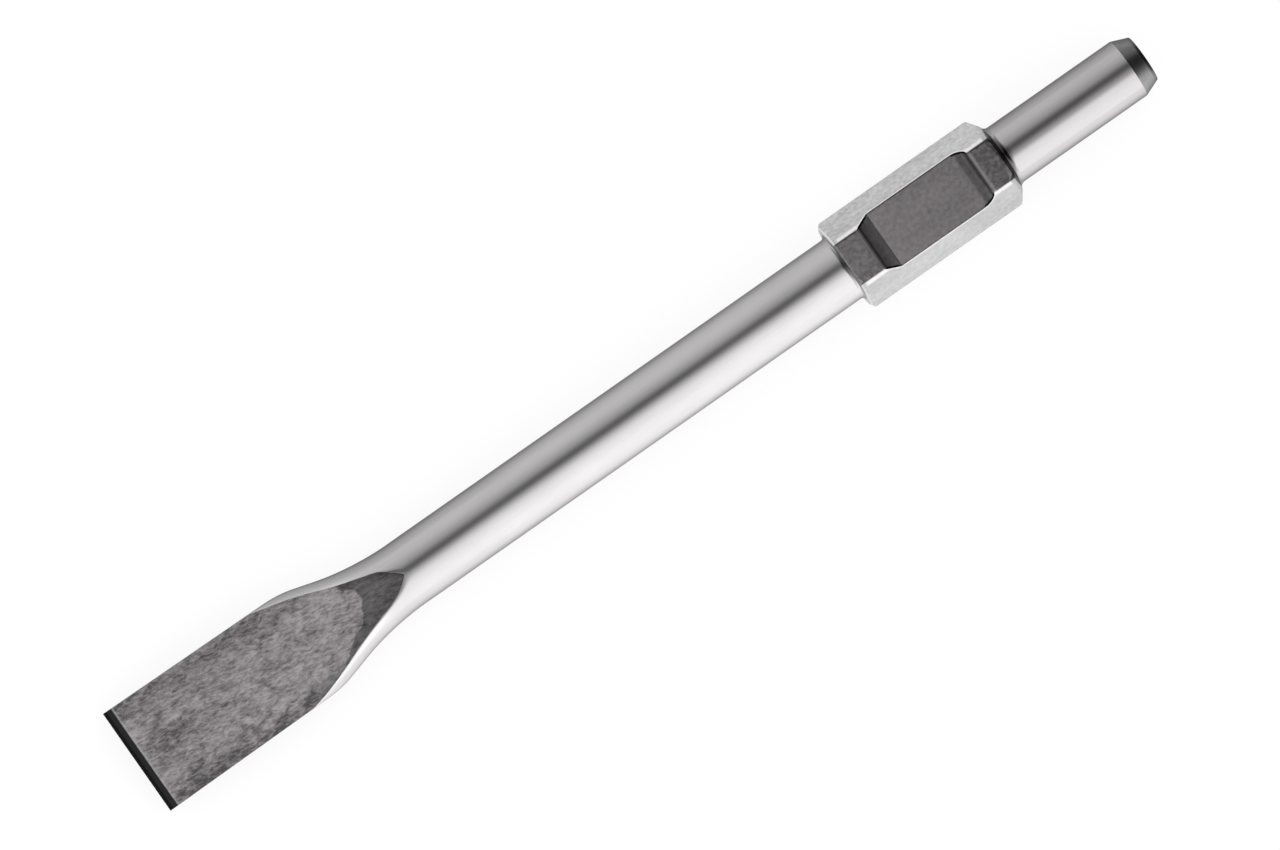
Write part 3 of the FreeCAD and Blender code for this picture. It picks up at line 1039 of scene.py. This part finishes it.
    def laid(self, colour, mask, name):
        """The colour with one of the layers over it, where the mask is."""
        grey, warmth, cover = LAYERS[name]
        return self.blend(self.times(mask, cover), colour, tint(grey, warmth))

    def scale_tone(self):
        """How pale the scale is: short slanting streaks, blots, a darker tip, and painted shade at
        the sides.
        """
        u, y, blots = self.u, self.y, self.grains["blots"]
        upper = self.rise(self.fused(blots, UPPER_EDGE_WAVE, y), *UPPER_EDGE)
        lower = self.rise(self.fused(blots, LOWER_EDGE_WAVE, y), *LOWER_EDGE)
        near_tip = self.band(u, *TIP_PATCH)
        off_patch = self.size_of(self.minus(y, TIP_PATCH_SIDE))
        near_tip = self.times(near_tip, self.rise(off_patch, *TIP_PATCH_REACH))
        upper = self.times(upper, UPPER_EDGE_DARK)
        lower = self.times(lower, LOWER_EDGE_DARK)
        dark = self.math("MAXIMUM", upper, lower)
        dark = self.math("MAXIMUM", dark, self.times(near_tip, TIP_PATCH_DARK))
        tone = self.fused(self.streaks, SCALE_STREAKS, self.times(blots, SCALE_BLOTS))
        tone = self.fused(self.grains["drift"], SCALE_DRIFT, tone)
        tone = self.fused(dark, -SCALE_DARKENING, tone)
        return self.span(tone, *SCALE_TONES, 0.0, 1.0)

    def blade_colours(self, tone):
        """Colours of the scale, the run-out and the bevel."""
        u = self.u
        scale = self.between(tone, "scale")
        scale = self.laid(scale, self.crease_shade, "scale_crease_shade")
        scale = self.laid(scale, self.smudge, "smudge")
        scale = self.laid(scale, self.band(u, *EDGE_LINE), "edge_line")
        # The run-out's dark tones are painted shade, darker still towards its end.
        blots = self.times(self.grains["blots"], RUNOUT_BLOTS)
        runout_tone = self.fused(self.streaks, RUNOUT_STREAKS, blots)
        runout_tone = self.fused(self.rise(u, *RUNOUT_END), -RUNOUT_END_DARK, runout_tone)
        runout = self.toned(runout_tone, "runout")
        runout = self.laid(runout, self.crease_shade, "runout_crease_shade")
        bevel = self.between(self.span(u, *BEVEL_SHADE, 0.0, 1.0), "bevel")
        return scale, runout, bevel

    def milled_colour(self):
        """The collar's sloping flats, with painted highlights along their upper edges and front
        rim.
        """
        cloud = self.times(self.grains["cloud"], MILLED_CLOUD)
        tone = self.fused(self.grains["mottle"], MILLED_MOTTLE, cloud)
        tone = self.times(tone, self.mix(self.rise(self.y, *MILLED_SIDES), *MILLED_CONTRAST))
        colour = self.toned(tone, "milled")
        colour = self.laid(colour, self.edge_highlight, "edge_highlight")
        return self.laid(colour, self.front_rim, "front_rim_highlight")

    def oxide_colour(self):
        """The collar's dark upper flat, its notch and the lands at its ends."""
        mottle = self.times(self.grains["mottle"], self.mix(self.on_land, *OXIDE_MOTTLE))
        tone = self.fused(self.grains["cloud"], OXIDE_CLOUD, mottle)
        tone = self.plus(tone, self.span(self.x, FRONT + OXIDE_DRIFT_START, REAR, *OXIDE_DRIFT))
        tone = self.fused(self.y, -OXIDE_SIDE_DRIFT, tone)
        colour = self.toned(tone, "oxide")
        # Painted shade round the notch's floor and on its ramps.
        colour = self.blend(self.outline, colour, self.between(self.on_ramp, "outline"))
        colour = self.laid(colour, self.on_land, "land")
        # A painted highlight on the lands just past the notch.
        colour = self.laid(colour, self.notch_edge_highlight, "notch_edge_highlight")
        # A painted shade on the front rim's top.
        colour = self.laid(colour, self.front_rim, "front_rim_shade")
        return self.laid(colour, self.ramp_shade, "ramp_shade")

    def cone_colour(self):
        """The chamfer at the striking end: greyer on top as a painted shade, and stained."""
        on_top = self.rise(self.size_of(self.plus(self.y, CONE_SIDE)), *CONE_TOP)
        stain = self.span(self.grains["mottle"], *CONE_STAIN_TONES, 0.0, CONE_STAIN)
        return self.laid(self.between(on_top, "cone"), stain, "cone_stain")

    def colour(self, tone):
        """Each finish's colour laid over the one before."""
        steel = self.toned(self.shine, "steel")
        steel = self.laid(steel, self.in_shank, "shank")
        # A painted dark reflection along the shank's top.
        steel = self.laid(steel, self.dark_reflection, "dark_reflection")
        # A painted highlight on the neck's crest.
        steel = self.laid(steel, self.crest_highlight, "crest_highlight")
        steel = self.blend(self.milled, steel, self.milled_colour())
        steel = self.blend(self.oxide, steel, self.oxide_colour())
        steel = self.blend(self.times(self.cone, CONE_COVER), steel, self.cone_colour())
        steel = self.laid(steel, self.striking_rim_shade, "striking_rim_shade")
        # Painted shade by the collar's ends.
        steel = self.laid(steel, self.collar_shade, "collar_shade")
        scale, runout, bevel = self.blade_colours(tone)
        colour = self.blend(self.scale, steel, scale)
        colour = self.blend(self.runout, colour, runout)
        return self.blend(self.bevel, colour, bevel)

    def metal(self):
        """How metallic each finish is."""
        metallic = self.mix(self.milled, 1.0, MILLED_METAL)
        metallic = self.mix(self.front_rim, metallic, 0.0)
        metallic = self.mix(self.scale, metallic, SCALE_METAL)
        metallic = self.mix(self.runout, metallic, RUNOUT_METAL)
        return self.mix(self.bevel, metallic, BEVEL_METAL)

    def roughness(self, tone):
        """How rough each finish is."""
        rough = self.span(self.shine, -0.5, 0.5, *STEEL_ROUGH)
        rough = self.mix(self.in_shank, rough, SHANK_ROUGH)
        rough = self.mix(self.milled, rough, MILLED_ROUGH)
        rough = self.mix(self.oxide, rough, OXIDE_ROUGH)
        rough = self.mix(self.cone, rough, CONE_ROUGH)
        rough = self.mix(self.scale, rough, self.span(tone, 0.0, 1.0, *SCALE_ROUGH))
        rough = self.mix(self.runout, rough, RUNOUT_ROUGH)
        return self.mix(self.bevel, rough, BEVEL_ROUGH)

    def height(self):
        """Height of the surface's marks, in mm: grinding on the steel, pits in the scale."""
        steel = self.times(self.grains["lengthwise"], GRINDING_HEIGHT)
        steel = self.fused(self.grains["rings"], GRINDING_HEIGHT, steel)
        on_collar = self.times(self.grains["mottle"], self.in_collar)
        steel = self.fused(on_collar, COLLAR_HEIGHT, steel)
        blots = self.times(self.grains["blots"], BLOT_HEIGHT)
        scale = self.fused(self.streaks, STREAK_HEIGHT, blots)
        height = self.mix(self.scale, steel, scale)
        height = self.mix(self.runout, height, self.times(scale, RUNOUT_SMOOTHNESS))
        return self.mix(self.bevel, height, 0.0)


def forged_steel():
    """Ground steel on the shaft, shank and collar, dark scale on the blade, a black bevel."""
    material = bpy.data.materials.new("forged_steel")
    material.use_nodes = True
    n = SteelNodes(material.node_tree)
    tone = n.scale_tone()
    bump = n.add("ShaderNodeBump", {"Height": n.height(), "Strength": 1.0, "Distance": MM})
    shader = n.add(
        "ShaderNodeBsdfPrincipled",
        {
            "Base Color": n.colour(tone),
            "Metallic": n.metal(),
            "Roughness": n.roughness(tone),
            "Specular Tint": (RIM_TINT, RIM_TINT, RIM_TINT, 1.0),
            "Normal": bump.outputs[0],
        },
    )
    n.add("ShaderNodeOutputMaterial", {0: shader.outputs[0]})
    return material


# ---------------------------------------------------------------- studio
def studio_glow(n, direction):
    """Brightness of the studio in a direction: a dark band overhead between two soft boxes."""
    axes = n.add("ShaderNodeSeparateXYZ", {0: direction}).outputs
    around = n.math("ARCTAN2", n.times(axes[1], -1.0), axes[2])
    share = n.span(around, -math.pi, math.pi, 0.0, 1.0)
    ramp = n.add("ShaderNodeValToRGB", {0: share})
    stops = ramp.color_ramp.elements
    while len(stops) < len(STUDIO_GLOW):
        stops.new(0.5)
    for stop, (angle, glow) in zip(stops, STUDIO_GLOW):
        stop.position = (angle + 180) / 360
        stop.color = (glow / GLOW_SCALE,) * 3 + (1.0,)
    tilt = n.size_of(axes[0])
    overhead = n.rise(n.size_of(around), *OVERHEAD)
    towards_end = n.span(axes[0], *END_GLOW_REACH, *END_GLOW)
    end_glow = n.mix(n.rise(axes[0], -END_BLUR, END_BLUR), BLADE_GLOW, towards_end)
    side_glow = n.mix(n.rise(around, -SIDE_BLUR, SIDE_BLUR), *SIDE_GLOW)
    end_glow = n.mix(overhead, side_glow, end_glow)
    fade = n.mix(n.rise(tilt, *FADE_REACH), 1.0, end_glow)
    glow = n.times(ramp.outputs[0], GLOW_SCALE)
    return n.times(glow, fade)


def light_studio():
    """Soft light from all round. What polished steel mirrors is the glow above."""
    world = bpy.data.worlds.new("studio")
    world.use_nodes = True
    bpy.context.scene.world = world
    n = Nodes(world.node_tree)
    direction = n.add("ShaderNodeTexCoord").outputs["Generated"]
    path = n.add("ShaderNodeLightPath").outputs
    glow = n.mix(path["Is Diffuse Ray"], studio_glow(n, direction), SOFT_LIGHT)
    glow = n.mix(path["Is Camera Ray"], glow, 1.0)
    background = n.add("ShaderNodeBackground", {"Color": (1, 1, 1, 1), "Strength": glow})
    n.add("ShaderNodeOutputWorld", {0: background.outputs[0]})


def make_floor():
    """The white floor that the tool lies on. In gloss it shows the studio's glow instead."""
    shaft_foot = Vector((from_edge(RUNOUT_DISTANCE), 0, -SHAFT_RADIUS))
    collar_foot = Vector((COLLAR_FRONT, 0, LOW.z))
    along = (collar_foot - shaft_foot).normalized()
    across = Vector((0, 1, 0))
    centre = (shaft_foot + collar_foot) / 2
    corners = [
        centre + FLOOR_HALF * (sx * along + sy * across)
        for sx, sy in ((-1, -1), (1, -1), (1, 1), (-1, 1))
    ]
    mesh = bpy.data.meshes.new("floor")
    mesh.from_pydata([tuple(c) for c in corners], [], [(0, 1, 2, 3)])
    floor = bpy.data.objects.new("floor", mesh)
    bpy.context.scene.collection.objects.link(floor)
    material = bpy.data.materials.new("white_floor")
    material.use_nodes = True
    n = Nodes(material.node_tree)
    place = n.add("ShaderNodeNewGeometry").outputs["Position"]
    path = n.add("ShaderNodeLightPath").outputs
    paper = n.add("ShaderNodeBsdfDiffuse", {"Color": (PAPER_WHITE,) * 3 + (1,)})
    lit = n.add("ShaderNodeEmission", {"Color": (1, 1, 1, 1), "Strength": FLOOR_BRIGHTNESS})
    white = n.add("ShaderNodeMixShader", {0: FLOOR_GLOW, 1: paper.outputs[0], 2: lit.outputs[0]})
    floor_x = n.add("ShaderNodeSeparateXYZ", {0: place}).outputs[0]
    by_shank = n.rise(floor_x, *(COLLAR_REAR + d for d in SHANK_FLOOR))
    mirrored = n.times(studio_glow(n, place), n.mix(by_shank, 1.0, SHANK_FLOOR_GLOW))
    glow = n.add("ShaderNodeEmission", {"Strength": mirrored})
    seen = {0: path["Is Glossy Ray"], 1: white.outputs[0], 2: glow.outputs[0]}
    shown = n.add("ShaderNodeMixShader", seen)
    n.add("ShaderNodeOutputMaterial", {0: shown.outputs[0]})
    mesh.materials.append(material)
    return floor


def place_camera():
    """Looks down on the tool, which lies across the frame from lower left to upper right."""
    lean = math.radians(CAMERA_LEAN)
    roll = math.radians(CAMERA_ROLL)
    back = Vector((-math.sin(lean), math.sin(roll), math.cos(lean))).normalized()
    along = (Vector((1, 0, 0)) - back * back.x).normalized()
    across = back.cross(along)
    turn = math.radians(FRAME_TURN)
    right = math.cos(turn) * along - math.sin(turn) * across
    up = math.sin(turn) * along + math.cos(turn) * across
    middle = (LOW + HIGH) / 2 + CAMERA_AIM
    camera_data = bpy.data.cameras.new("camera")
    camera_data.lens = LENS
    camera_data.sensor_width = SENSOR
    camera_data.clip_end = CLIP_END
    camera = bpy.data.objects.new("camera", camera_data)
    rotation = Matrix((right, up, back)).transposed().to_4x4()
    distance = FRAME_WIDTH * LENS / SENSOR
    camera.matrix_world = Matrix.Translation(middle + back * distance) @ rotation
    bpy.context.scene.collection.objects.link(camera)
    bpy.context.scene.camera = camera


bpy.context.scene.view_settings.view_transform = "Standard"
place_camera()
light_studio()
make_floor()

chisel = make_chisel()
chisel.data.materials.append(forged_steel())
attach(chisel, "root")
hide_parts(NODE)
